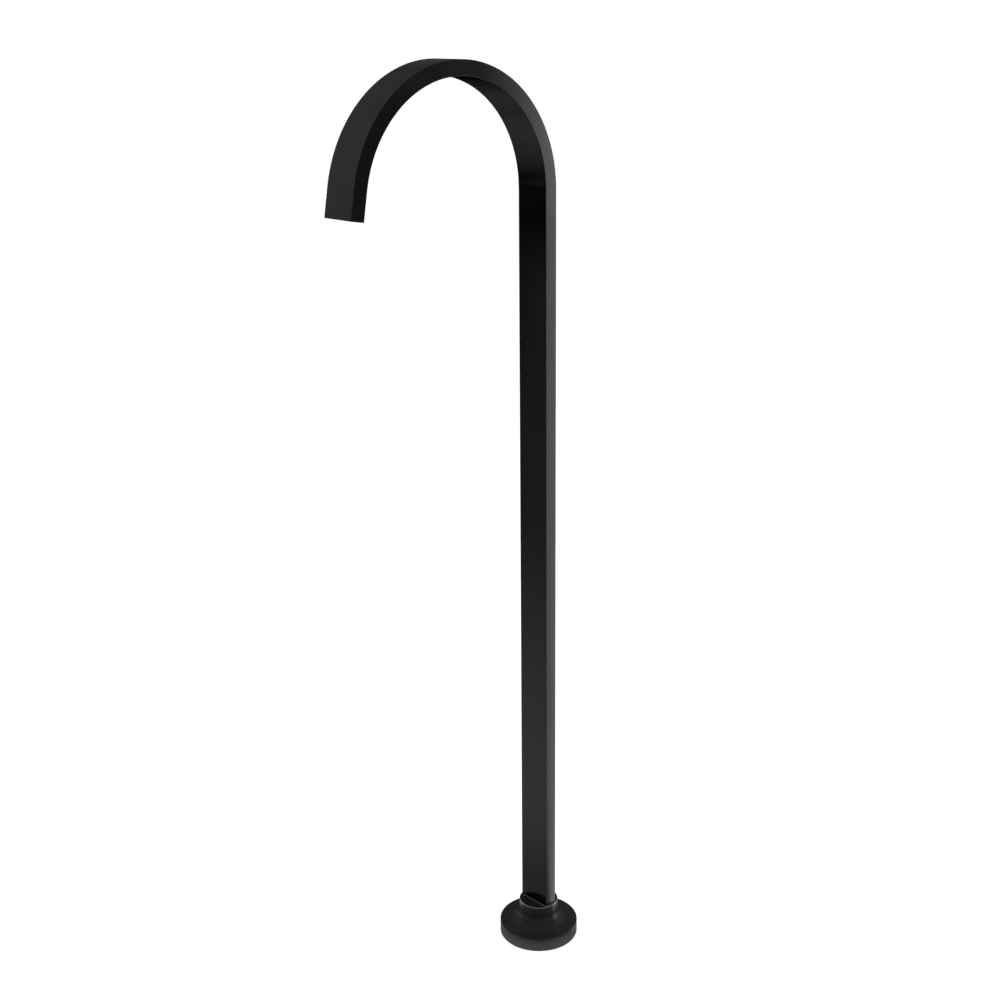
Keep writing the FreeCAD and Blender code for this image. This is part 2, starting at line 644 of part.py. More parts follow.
pieces = [
    floor_base(),
    base_gasket(),
    turned_ring("thrust_washer", "Sizes.spigot_bore", "Worked.boss_radius", "Worked.boss_top",
                "Worked.washer_top"),
    turned_ring("inlet_washer", "Sizes.passage_radius", "Worked.washer_radius", "Worked.thread_top",
                "Worked.screen_bottom"),
    inlet_screen(),
    o_ring("cover_o_ring", "Worked.cover_ring_centre", "Sizes.cover_ring_section",
           "(Worked.cover_groove_low + Worked.cover_groove_high) / 2"),
    spout_tube(),
    spout_foot(),
    o_ring("lower_o_ring", "Worked.o_ring_centre", "Sizes.o_ring_section",
           "(Worked.lower_o_low + Worked.lower_o_high) / 2"),
    o_ring("upper_o_ring", "Worked.o_ring_centre", "Sizes.o_ring_section",
           "(Worked.upper_o_low + Worked.upper_o_high) / 2"),
    turned_ring("lower_glide_ring", "Worked.glide_groove_radius", "Worked.ring_radius",
                "Worked.lower_glide_low", "Worked.lower_glide_high"),
    turned_ring("upper_glide_ring", "Worked.glide_groove_radius", "Worked.ring_radius",
                "Worked.upper_glide_low", "Worked.upper_glide_high"),
    outlet_housing(),
    holed_plate("straightener_grid", "Worked.grid_bottom", "Sizes.grid_thickness", "Sizes.grid_hole",
                "Sizes.grid_bar"),
    holed_plate("outlet_screen", "Worked.grid_top", "Sizes.mesh_thickness", "Sizes.mesh_hole",
                "Sizes.mesh_bar"),
    outlet_gasket(),
    cover_flange(),
    turned_ring("cover_seal", "Worked.seal_inner", "Worked.seal_outer", "0", "Sizes.seal_height"),
]
pieces += [grub_screw(index) for index in range(GRUB_SCREWS)]
doc.recompute()

# ---------------------------------------------------------------- checks and files
for item in doc.Objects:
    if "Invalid" in item.State or "Error" in item.State:
        raise RuntimeError(f"{item.Name} is {item.State}")
for piece in pieces:
    if piece.Shape.isNull() or not piece.Shape.isValid():
        raise RuntimeError(f"{piece.Label} has no valid shape")

os.makedirs("parts", exist_ok=True)
for piece in pieces:
    piece.Shape.exportStep(f"parts/{piece.Label}.step")
    box = piece.Shape.BoundBox
    print(f"{piece.Label}: {len(piece.Shape.Solids)} solid, volume {piece.Shape.Volume:.1f},"
          f" z {box.ZMin:.2f} to {box.ZMax:.2f}")
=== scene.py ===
"""Floor standing bath filler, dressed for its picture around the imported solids.

Metres, +Z up. The column's axis meets the floor at the origin, the spout reaches towards -Y and the flat
tube's width runs along X. Sizes are written in millimetres and turned to metres by MM.
"""
import math

import bmesh
import bpy
import numpy as np
from mathutils import Matrix, Vector


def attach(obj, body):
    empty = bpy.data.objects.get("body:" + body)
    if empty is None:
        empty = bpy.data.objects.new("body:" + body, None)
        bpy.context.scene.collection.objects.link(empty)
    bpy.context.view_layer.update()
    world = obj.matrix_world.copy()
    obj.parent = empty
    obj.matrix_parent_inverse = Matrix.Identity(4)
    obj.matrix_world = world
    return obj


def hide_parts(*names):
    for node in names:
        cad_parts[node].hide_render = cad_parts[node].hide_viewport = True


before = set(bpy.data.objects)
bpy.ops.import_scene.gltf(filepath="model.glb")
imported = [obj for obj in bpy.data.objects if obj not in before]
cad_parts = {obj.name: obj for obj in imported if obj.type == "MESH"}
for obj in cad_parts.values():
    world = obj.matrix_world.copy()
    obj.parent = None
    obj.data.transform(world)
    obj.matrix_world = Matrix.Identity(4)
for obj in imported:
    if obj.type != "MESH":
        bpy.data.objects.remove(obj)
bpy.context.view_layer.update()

MM = 0.001

# ---------------------------------------------------------------- sizes of the solids, in millimetres
TUBE_WIDTH, TUBE_DEPTH, TUBE_WALL = 40.0, 16.0, 1.5
TUBE_EDGE, TUBE_INNER_EDGE = 0.6, 0.4
ARCH_RADIUS, ARCH_CENTRE, ARCH_SWEEP, LEG = 128.0, 888.0, 170.0, 29.0
FOOT_TOP, HEAD_RADIUS = 42.7, 21.54
NECK_TOP, NECK_RADIUS, COVER_BORE = 43.0, 22.79, 21.84
RIM_HEIGHT, FLANGE_RADIUS, COVER_INSIDE, INSIDE_RADIUS = 16.0, 46.0, 14.0, 44.0
FLOOR_GAP, SEAL_HEIGHT, SEAL_INNER, SEAL_OUTER = 0.3, 1.5, 44.5, 45.5
# trim that only the picture's surfaces have: the mouth's rolled lip and the braze line at the tube's foot
MOUTH_LIP, BRAZE = 0.25, 0.5
# the new surfaces lie this far inside the solids' outer ones, so that their finer curves stay in the box
SKIN = 0.05

# ---------------------------------------------------------------- steps of the new surfaces
# points round the tube's section, and steps along its braze, column, arch and leg
SECTION = 28
BRAZE_STEPS, COLUMN_STEPS, ARCH_STEPS, LEG_STEPS = 4, 21, 140, 3
# the even rows of the column and the leg stop this many millimetres from the tube's ends
END_ROW = 1.0
# steps of each rounded corner of the cover's outline, and steps round its axis
COVER_CORNER_STEPS, COVER_AROUND = 10, 192


# ---------------------------------------------------------------- surfaces
def round_corner(steps):
    """Unit quarter turns of a section's four corners.

    Returns, for every point round the section, the corner's signs (across, deep) and the direction from
    that corner's own centre, (cos a, sin a), where a runs over the corner's 90 degrees in equal steps.
    """
    quarter = np.repeat(np.arange(4), steps + 1)
    angle = (quarter + np.tile(np.linspace(0, 1, steps + 1), 4)) * math.pi / 2
    signs = np.array([(1, 1), (-1, 1), (-1, -1), (1, -1)])[quarter]
    return signs, np.stack([np.cos(angle), np.sin(angle)], axis=-1)


def rounded_outline(corners, steps):
    """A closed outline of straight runs whose corners are arcs, taken clockwise, and its outward normals.

    corners holds rows of (across, up, radius). With t the turn from one run to the next, the arc touches
    the runs at radius * tan(t / 2) from the corner, and its centre lies the radius away on the side of the
    turn. Its points are that centre less the radius, signed by the turn, times the run's normal, which turns
    by equal steps of t.
    """
    corners = np.array(corners, float)
    place, radius = corners[:, :2], corners[:, 2:3]
    into = place - np.roll(place, 1, axis=0)
    into /= np.linalg.norm(into, axis=1, keepdims=True)
    out = np.roll(into, -1, axis=0)
    turn = np.arctan2(into[:, 0] * out[:, 1] - into[:, 1] * out[:, 0], (into * out).sum(axis=1))[:, None]
    side = np.sign(turn)
    start = place - into * radius * np.tan(np.abs(turn) / 2)
    normal = np.stack([-into[:, 1], into[:, 0]], axis=-1)
    centre = start + normal * radius * side
    swing = turn * np.linspace(0, 1, steps + 1)
    turned = np.stack([
        normal[:, :1] * np.cos(swing) - normal[:, 1:] * np.sin(swing),
        normal[:, :1] * np.sin(swing) + normal[:, 1:] * np.cos(swing),
    ], axis=-1)
    points = centre[:, None] - turned * (radius * side)[:, None]
    return points.reshape(-1, 2), turned.reshape(-1, 2)


def closed_grid(name, points, normals):
    """A mesh from a grid of points that closes on itself both ways, with its formula's own normals."""
    rows, columns = points.shape[:2]
    index = np.arange(rows * columns).reshape(rows, columns)
    right = np.roll(index, -1, axis=1)
    below = np.roll(index, -1, axis=0)
    corner = np.roll(right, -1, axis=0)
    faces = np.stack([index, right, corner, below], axis=-1).reshape(-1, 4)
    mesh = bpy.data.meshes.new(name)
    mesh.from_pydata((points.reshape(-1, 3) * MM).tolist(), [], faces.tolist())
    mesh.shade_smooth()
    mesh.normals_split_custom_set_from_vertices(normals.reshape(-1, 3).tolist())
    piece = bpy.data.objects.new(name, mesh)
    bpy.context.scene.collection.objects.link(piece)
    return piece


def turned_piece(name, corners, steps, around):
    """A closed outline of (radius, height) turned about the vertical axis.

    A point is (r cos f, r sin f, z) for the outline's (r, z) and the angle f. Its normal is the outline's
    normal, turned with it.
    """
    outline, normal = rounded_outline(corners, steps)
    angle = np.arange(around) * 2 * math.pi / around
    cosine, sine = np.cos(angle)[:, None], np.sin(angle)[:, None]
    points = np.stack([outline[:, 0] * cosine, outline[:, 0] * sine, outline[:, 1] + 0 * cosine], axis=-1)
    normals = np.stack([normal[:, 0] * cosine, normal[:, 0] * sine, normal[:, 1] + 0 * cosine], axis=-1)
    return closed_grid(name, points, normals)


def flat_tube(name):
    """The column, arch and leg in one: a round-cornered rectangle carried along a line, an arc and a line.

    The wall's own profile is a closed outline of (inset, distance along the path). It runs up the outside,
    round the mouth's lip, back down the inside and round the lower end, where a thin braze fillet stands
    outwards. For each of its points the section is the rectangle moved in by the inset, with corners whose
    radius blends from the outer to the inner one. The path goes up the column's axis, then through
    (0, R cos t - R, H + R sin t) on the arch, then straight on.
    """
    column = ARCH_CENTRE - FOOT_TOP
    sweep = math.radians(ARCH_SWEEP)
    arch = ARCH_RADIUS * sweep
    mouth = column + arch + LEG
    stops = np.concatenate([
        np.linspace(END_ROW, column, COLUMN_STEPS + 1),
        column + np.linspace(0, arch, ARCH_STEPS + 1)[1:],
        column + arch + np.linspace(0, LEG - END_ROW, LEG_STEPS + 1)[1:],
    ])
    bend = np.linspace(0, math.pi / 2, BRAZE_STEPS + 1)
    cosine, sine = np.cos(bend), np.sin(bend)
    ones = 1 + 0 * stops
    # rows of inset, distance along the path, the normal's share outwards and its share along the path
    profile = [
        (SKIN - BRAZE * (1 - sine), BRAZE * (1 - cosine), sine, cosine),
        (SKIN * ones, stops, ones, 0 * stops),
        (SKIN + MOUTH_LIP * (1 - cosine), mouth - MOUTH_LIP * (1 - sine), cosine, sine),
        (TUBE_WALL - MOUTH_LIP * (1 - sine), mouth - MOUTH_LIP * (1 - cosine), -sine, cosine),
        (TUBE_WALL * ones, stops[::-1], -ones, 0 * stops),
        (TUBE_WALL * ones[:1], 0 * ones[:1], -ones[:1], 0 * ones[:1]),
    ]
    inset, distance, sideways, forward = (np.concatenate(part)[:, None] for part in zip(*profile))
    signs, direction = round_corner(SECTION // 4 - 1)
    blend = np.clip(inset / TUBE_WALL, -1, 1)
    corner = TUBE_EDGE + (TUBE_INNER_EDGE - TUBE_EDGE) * blend
    width = signs[:, 0] * (TUBE_WIDTH / 2 - inset - corner) + corner * direction[:, 0]
    depth = signs[:, 1] * (TUBE_DEPTH / 2 - inset - corner) + corner * direction[:, 1]
    # the braze stays on the foot's round head
    reach = np.hypot(width, depth)
    held = np.where((distance < END_ROW) & (reach > HEAD_RADIUS), HEAD_RADIUS / reach, 1.0)
    width, depth = width * held, depth * held
    turn = np.clip((distance - column) / ARCH_RADIUS, 0, sweep)
    before = np.minimum(distance, column)
    after = np.maximum(distance - column - arch, 0)
    cosine, sine = np.cos(turn), np.sin(turn)
    middle_y = ARCH_RADIUS * (cosine - 1) - after * sine
    middle_z = FOOT_TOP + before + ARCH_RADIUS * sine + after * cosine
    points = np.stack([width, middle_y + depth * cosine, middle_z + depth * sine], axis=-1)
    outwards = np.stack([
        direction[:, 0] + 0 * cosine,
        direction[:, 1] * cosine,
        direction[:, 1] * sine,
    ], axis=-1)
    along = np.stack([0 * cosine, -sine, cosine], axis=-1)
    normals = outwards * sideways[..., None] + along * forward[..., None]
    return closed_grid(name, points, normals)


# the largest angle between triangles of one flat face, the largest that shades as a curve, and the
# smallest of an edge that gets rounded
FLAT_ANGLE, CURVE_ANGLE, EDGE_ANGLE = math.radians(0.3), math.radians(30), math.radians(40)


def softened(node, edge):
    """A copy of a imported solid: its triangles merged, its curved faces smooth and its edges rounded."""
    shell = bmesh.new()
    shell.from_mesh(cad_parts[node].data)
    bmesh.ops.remove_doubles(shell, verts=shell.verts, dist=0.001 * MM)
    bmesh.ops.dissolve_limit(shell, angle_limit=FLAT_ANGLE, verts=shell.verts, edges=shell.edges)
    mesh = bpy.data.meshes.new(node + "_skin")
    shell.to_mesh(mesh)
    shell.free()
    if mesh.has_custom_normals:
        mesh.attributes.remove(mesh.attributes["custom_normal"])
    mesh.materials.clear()
    mesh.shade_smooth()
    mesh.set_sharp_from_angle(angle=CURVE_ANGLE)
    piece = bpy.data.objects.new(node + "_skin", mesh)
    bpy.context.scene.collection.objects.link(piece)
    round_edges = piece.modifiers.new("round_edges", "BEVEL")
    round_edges.width = edge * MM
    round_edges.segments = 2
    round_edges.limit_method = "ANGLE"
    round_edges.angle_limit = EDGE_ANGLE
    round_edges.harden_normals = True
    return piece


# ---------------------------------------------------------------- finishes
def linear(colour):
    """The linear colour of an sRGB hex string such as "1a1a1b"."""
    value = np.array([int(colour[place:place + 2], 16) for place in (0, 2, 4)]) / 255
    value = np.where(value <= 0.04045, value / 12.92, ((value + 0.055) / 1.055) ** 2.4)
    return (*value.tolist(), 1.0)


def add(tree, kind, inputs=(), **settings):
    """Adds a node with its settings, and returns it.

    inputs maps a socket to a value, to a node whose first output it takes, or to a (node, output) pair.
    """
    node = tree.nodes.new("ShaderNode" + kind)
    for setting, value in settings.items():
        setattr(node, setting, value)
    for socket, value in dict(inputs).items():
        source = value if isinstance(value, tuple) else (value, 0)
        if isinstance(source[0], bpy.types.Node):
            tree.links.new(source[0].outputs[source[1]], node.inputs[socket])
        else:
            node.inputs[socket].default_value = value
    return node


def new_finish(name):
    """A new material, and its node tree, still empty."""
    material = bpy.data.materials.new(name)
    material.use_nodes = True
    tree = material.node_tree
    tree.nodes.clear()
    return material, tree


def black_coating(name, dark, light, gloss, clear, peel, cloud):
    """A black coat baked on nickelled brass, either lacquer in two layers or powder in one.

    The eye sees a near black with an even shine: a faint orange peel that only shows up close, dust nibs
    finer than that, a slow change of gloss over some centimetres, and a colour that is hardly lighter where
    the coat lies thin. The nibs are drawn at 0.5 mm, as real ones are too fine to show. gloss is the
    roughness, clear the weight of the top layer, and peel and cloud are widths in millimetres.
    """
    material, tree = new_finish(name)
    place = add(tree, "TexCoord")
    peel_noise = add(tree, "TexNoise", {"Vector": (place, "Object"), "Scale": 1 / (peel * MM),
                                        "Detail": 2.0, "Roughness": 0.45})
    nibs = add(tree, "TexNoise", {"Vector": (place, "Object"), "Scale": 1 / (0.5 * MM), "Detail": 1.0})
    clouds = add(tree, "TexNoise", {"Vector": (place, "Object"), "Scale": 1 / (cloud * MM), "Detail": 3.0})
    shine = add(tree, "MapRange", {"Value": clouds, "From Min": 0.3, "From Max": 0.7,
                                   "To Min": gloss - 0.02, "To Max": gloss + 0.03})
    shade = add(tree, "MixRGB", {"Fac": clouds, "Color1": linear(dark), "Color2": linear(light)})
    ripple = add(tree, "Bump", {"Height": peel_noise, "Strength": 1.0, "Distance": 0.0008 * MM})
    skin = add(tree, "Bump", {"Height": nibs, "Strength": 1.0, "Distance": 0.0002 * MM, "Normal": ripple})
    coat = add(tree, "BsdfPrincipled", {
        "Base Color": shade, "Roughness": shine, "Normal": skin,
        "IOR": 1.5, "Coat Weight": clear, "Coat Roughness": 0.05, "Coat IOR": 1.5,
    })
    add(tree, "OutputMaterial", {"Surface": coat})
    return material


def turned_metal(name, bright, dull, gloss, pitch, tarnish):
    """Bare metal from the lathe.

    The eye sees fine rings round the axis, and patches where handling has dulled it. The tool's feed of
    about 0.15 mm is too fine to show, so the rings are drawn at the given pitch. gloss is the roughness
    where it shines most, and pitch and tarnish are the widths of rings and patches in millimetres.
    """
    material, tree = new_finish(name)
    place = add(tree, "TexCoord")
    flat = add(tree, "VectorMath", {0: (place, "Object"), 1: (1.0, 1.0, 0.0)}, operation="MULTIPLY")
    radius = add(tree, "VectorMath", {0: flat}, operation="LENGTH")
    parts = add(tree, "SeparateXYZ", {"Vector": (place, "Object")})
    feed = add(tree, "Math", {0: (radius, "Value"), 1: (parts, "Z")}, operation="ADD")
    phase = add(tree, "Math", {0: feed, 1: 2 * math.pi / (pitch * MM)}, operation="MULTIPLY")
    groove = add(tree, "Math", {0: phase}, operation="SINE")
    patches = add(tree, "TexNoise", {"Vector": (place, "Object"), "Scale": 1 / (tarnish * MM),
                                     "Detail": 5.0, "Roughness": 0.6})
    shade = add(tree, "MixRGB", {"Fac": patches, "Color1": linear(bright), "Color2": linear(dull)})
    shine = add(tree, "MapRange", {"Value": patches, "From Min": 0.3, "From Max": 0.7,
                                   "To Min": gloss, "To Max": gloss + 0.12})
    skin = add(tree, "Bump", {"Height": groove, "Strength": 1.0, "Distance": 0.002 * MM})
    metal = add(tree, "BsdfPrincipled", {
        "Base Color": shade, "Roughness": shine, "Normal": skin, "Metallic": 1.0,
    })
    add(tree, "OutputMaterial", {"Surface": metal})
    return material


def moulded(name, dark, light, gloss, grain, depth, sheen):
    """Rubber or plastic, mostly from a mould.

    The eye sees a fine grain, a broad shine, and a slight bloom that changes the shade over a centimetre or
    so. gloss is the roughness, and grain and depth are the grain's width and height in millimetres.
    """
    material, tree = new_finish(name)
    place = add(tree, "TexCoord")
    texture = add(tree, "TexNoise", {"Vector": (place, "Object"), "Scale": 1 / (grain * MM),
                                     "Detail": 3.0, "Roughness": 0.6})
    bloom = add(tree, "TexNoise", {"Vector": (place, "Object"), "Scale": 1 / (12.0 * MM), "Detail": 3.0})
    shade = add(tree, "MixRGB", {"Fac": bloom, "Color1": linear(dark), "Color2": linear(light)})
    shine = add(tree, "MapRange", {"Value": texture, "From Min": 0.3, "From Max": 0.7,
                                   "To Min": gloss - 0.05, "To Max": gloss + 0.05})
    skin = add(tree, "Bump", {"Height": texture, "Strength": 1.0, "Distance": depth * MM})
    body = add(tree, "BsdfPrincipled", {
        "Base Color": shade, "Roughness": shine, "Normal": skin,
        "IOR": 1.5, "Sheen Weight": sheen,
    })
    add(tree, "OutputMaterial", {"Surface": body})
    return material


# the bent tube has two layers of lacquer: blacker and glossier than the turned parts
tube_lacquer = black_coating(
    "semi_gloss_black_lacquer", "030304", "050507", gloss=0.12, clear=0.4, peel=1.5, cloud=60.0)
# the turned parts have one layer of powder: a softer shine
powder_coat = black_coating(
    "satin_black_powder_coat", "1b1b1c", "202021", gloss=0.34, clear=0.15, peel=1.8, cloud=25.0)
# bare nickel, near white, on the neck's rounded edge and on the braze: a painted highlight, the thin bright
# line where these black edges catch the light
highlight_nickel = turned_metal("painted_highlight_nickel", "f0efed", "dddbd7", gloss=0.12, pitch=0.5, tarnish=8.0)
# bar brass, turned and left bare: warm yellow, browner where it was handled
brass = turned_metal("turned_brass", "e0c184", "b8935a", gloss=0.24, pitch=0.6, tarnish=18.0)
# austenitic steel, rolled and punched or turned: grey, with a soft shine
stainless = turned_metal(
    "austenitic_stainless_steel", "cbc9c5", "aeaca8", gloss=0.26, pitch=0.4, tarnish=6.0)
# peroxide cured EPDM rubber: dull black with a grey bloom
rubber = moulded("moulded_epdm_rubber", "141414", "1d1d1d", gloss=0.55, grain=0.4, depth=0.01, sheen=0.15)
# machined acetal: off-white and waxy
acetal = moulded("machined_acetal", "e3e2dc", "d6d4cc", gloss=0.38, grain=0.6, depth=0.004, sheen=0.0)
# ABS from a spark eroded mould: black, with a fine even grain
black_abs = moulded(
    "moulded_black_abs", "161617", "1e1e1f", gloss=0.42, grain=0.35, depth=0.012, sheen=0.0)
# the straightener's moulded acetal: mid grey, smoother than the housing
grey_acetal = moulded(
    "moulded_grey_acetal", "6f7072", "7d7e80", gloss=0.38, grain=0.5, depth=0.006, sheen=0.0)


# ---------------------------------------------------------------- pieces
tube = flat_tube("tube_skin")
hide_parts("spout_tube")
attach(tube, "spout")
tube.data.materials.append(tube_lacquer)
tube.data.materials.append(highlight_nickel)
# the grid's first rows are the braze, which gets the bright nickel as a painted highlight
braze_highlight_faces = np.arange(len(tube.data.polygons)) < BRAZE_STEPS * SECTION
tube.data.polygons.foreach_set("material_index", braze_highlight_faces.astype(np.int32))

# the cover's section: radius, height and the corner's rounding, from the bore's top clockwise
COVER_OUTLINE = [
    (COVER_BORE, NECK_TOP, 0.1),
    (NECK_RADIUS, NECK_TOP, 0.8),
    (NECK_RADIUS, RIM_HEIGHT, 14.0),
    (FLANGE_RADIUS - SKIN, RIM_HEIGHT, 0.8),
    (FLANGE_RADIUS - SKIN, FLOOR_GAP, 0.15),
    (SEAL_OUTER, FLOOR_GAP, 0.1),
    (SEAL_OUTER, SEAL_HEIGHT, 0.1),
    (SEAL_INNER, SEAL_HEIGHT, 0.1),
    (SEAL_INNER, FLOOR_GAP, 0.1),
    (INSIDE_RADIUS, FLOOR_GAP, 0.1),
    (INSIDE_RADIUS, COVER_INSIDE, 0.4),
    (COVER_BORE, COVER_INSIDE, 8.0),
]
cover = turned_piece("cover_skin", COVER_OUTLINE, COVER_CORNER_STEPS, COVER_AROUND)
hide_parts("cover_flange")
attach(cover, "cover")
cover.data.materials.append(powder_coat)
cover.data.materials.append(highlight_nickel)
# the faces of the second corner's arc are the neck's rounded edge, which gets the bright nickel as a painted
# highlight
outline_face = np.arange(len(COVER_OUTLINE) * (COVER_CORNER_STEPS + 1))
neck_edge_highlight_faces = (outline_face > COVER_CORNER_STEPS) & (outline_face < 2 * COVER_CORNER_STEPS + 1)
cover.data.polygons.foreach_set("material_index", np.tile(neck_edge_highlight_faces, COVER_AROUND).astype(np.int32))

# body, node, width of its rounded edges in millimetres, finish and slot
FINISHES = [
    ("base", "floor_base", 0.25, brass, "bare_brass"),
    ("base", "base_gasket", 0.15, rubber, "black_rubber"),
    ("base", "cover_o_ring", 0.0, rubber, "black_rubber"),
    ("base", "grub_screw_1", 0.05, stainless, "stainless_steel"),
    ("base", "grub_screw_2", 0.05, stainless, "stainless_steel"),
    ("base", "grub_screw_3", 0.05, stainless, "stainless_steel"),
    ("spout", "spout_foot", 0.15, powder_coat, "foot_coating"),
    ("spout", "outlet_housing", 0.1, black_abs, "black_plastic"),
    ("spout", "straightener_grid", 0.05, grey_acetal, "grey_plastic"),
    ("cover", "cover_seal", 0.1, rubber, "black_rubber"),
]
for body, node, edge, finish, slot in FINISHES:
    piece = softened(node, edge)
    piece.data.materials.append(finish)
    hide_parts(node)
    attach(piece, body)

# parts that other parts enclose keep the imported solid's own mesh
HIDDEN = {
    "thrust_washer": acetal, "lower_glide_ring": acetal, "upper_glide_ring": acetal,
    "inlet_washer": rubber, "lower_o_ring": rubber, "upper_o_ring": rubber, "outlet_gasket": rubber,
    "inlet_screen": stainless, "outlet_screen": stainless,
}
for node, finish in HIDDEN.items():
    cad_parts[node].material_slots[0].material = finish


# ---------------------------------------------------------------- studio
# level directions as the picture shows them: to its right, and away from the camera
ACROSS, AWAY = (0.7071, 0.7071, 0.0), (-0.69, 0.72, 0.0)
# half the floor's side, and the point that the lamps face, in metres
FLOOR_HALF, MIDDLE = 4.8, (0, 0, 0.5)
# the levels that light the object, and those that the camera sees, where the floor has a share of matt white
WORLD_LIGHT, FLOOR_LIGHT = 0.6, 0.5
WORLD_SEEN, FLOOR_SEEN, FLOOR_MATT = 1.03, 0.76, 0.45
# a ramp between two values with soft ends instead of sharp ones
SOFT = {"interpolation_type": "SMOOTHSTEP"}


def share_along(tree, vector, axis):
    """The part of a level unit direction that lies along an axis."""
    level = add(tree, "VectorMath", {0: vector, 1: (1.0, 1.0, 0.0)}, operation="MULTIPLY")
    unit = add(tree, "VectorMath", {0: level}, operation="NORMALIZE")
    return add(tree, "VectorMath", {0: unit, 1: axis}, operation="DOT_PRODUCT"), "Value"


def white_wall(tree, across, away):
    """One in the directions of a white wall at the back right, falling softly to nothing at its ends.

    The column's right side mirrors the end that is nearer to the camera.
    """
    near_end = add(tree, "MapRange", {"Value": away, "From Min": 0.008, "From Max": 0.07}, **SOFT)
    far_end = add(tree, "MapRange", {"Value": away, "From Min": 0.5, "From Max": 0.2}, **SOFT)
    right_half = add(tree, "MapRange", {"Value": across, "From Min": 0.0, "From Max": 0.3}, **SOFT)
    between = add(tree, "Math", {0: near_end, 1: far_end}, operation="MULTIPLY")
    return add(tree, "Math", {0: between, 1: right_half}, operation="MULTIPLY")


def studio_world():
    """White for the camera, a plain level for the lighting, and a room with dim walls for reflections."""
    world = bpy.data.worlds.new("studio")
    world.use_nodes = True
    tree = world.node_tree
    tree.nodes.clear()
    ray = add(tree, "LightPath")
    look = add(tree, "TexCoord")
    direction = look, "Generated"
    parts = add(tree, "SeparateXYZ", {"Vector": direction})
    height = parts, "Z"
    across = share_along(tree, direction, ACROSS)
    away = share_along(tree, direction, AWAY)

    # the wall behind: palest where it starts at either side, and darker straight behind the object
    behind_edge = add(tree, "MapRange", {"Value": away, "From Min": 0.01, "From Max": 0.085}, **SOFT)
    behind_level = add(tree, "MapRange", {"Value": away, "From Min": 0.08, "From Max": 0.8,
                                          "To Min": 0.33, "To Max": 0.165})
    behind_middle = add(tree, "MapRange", {"Value": away, "From Min": 0.8, "From Max": 1.0,
                                           "To Min": 1.0, "To Max": 0.35}, **SOFT)
    behind_side = add(tree, "Math", {0: behind_edge, 1: behind_level}, operation="MULTIPLY")
    behind = add(tree, "Math", {0: behind_side, 1: behind_middle}, operation="MULTIPLY")

    # the wall on the right, dark where it comes round to the camera
    right_edge = add(tree, "MapRange", {"Value": across, "From Min": 0.0, "From Max": 0.3}, **SOFT)
    right_level = add(tree, "MapRange", {"Value": away, "From Min": -0.4, "From Max": -0.1,
                                         "To Min": 0.0, "To Max": 0.07}, **SOFT)
    right = add(tree, "Math", {0: right_edge, 1: right_level}, operation="MULTIPLY")

    # a low pale band on the camera's side
    front_edge = add(tree, "MapRange", {"Value": away, "From Min": -0.2, "From Max": -0.7}, **SOFT)
    front_level = add(tree, "MapRange", {"Value": height, "From Min": 0.1, "From Max": 0.4,
                                         "To Min": 0.25, "To Max": 0.02}, **SOFT)
    front = add(tree, "Math", {0: front_edge, 1: front_level}, operation="MULTIPLY")
    sides = add(tree, "Math", {0: right, 1: front}, operation="MAXIMUM")
    dim = add(tree, "Math", {0: behind, 1: sides}, operation="MAXIMUM")

    # the white wall reaches a little above the horizon, and all walls end under a plain ceiling
    white_level = add(tree, "MapRange", {"Value": height, "From Min": 0.02, "From Max": 0.15,
                                         "To Min": 1.7, "To Max": 0.0}, **SOFT)
    white = add(tree, "Math", {0: white_wall(tree, across, away), 1: white_level}, operation="MULTIPLY")
    all_walls = add(tree, "Math", {0: dim, 1: white}, operation="ADD")
    top_edge = add(tree, "MapRange", {"Value": height, "From Min": 0.62, "From Max": 0.9,
                                      "To Min": 1.0, "To Max": 0.15}, **SOFT)
    walls = add(tree, "Math", {0: all_walls, 1: top_edge}, operation="MULTIPLY")
    ceiling = add(tree, "MapRange", {"Value": height, "From Min": 0.35, "From Max": 0.6,
                                     "To Min": 0.015, "To Max": 0.12}, **SOFT)
    room = add(tree, "Math", {0: walls, 1: ceiling}, operation="MAXIMUM")

    plain = add(tree, "Mix", {"Factor": (ray, "Is Glossy Ray"), 2: WORLD_LIGHT, 3: room}, data_type="FLOAT")
    shown = add(tree, "Mix", {"Factor": (ray, "Is Camera Ray"), 2: plain, 3: WORLD_SEEN}, data_type="FLOAT")
    light = add(tree, "Background", {"Color": linear("ffffff"), "Strength": shown})
    add(tree, "OutputWorld", {"Surface": light})
    world.cycles.sampling_method = "NONE"
    return world


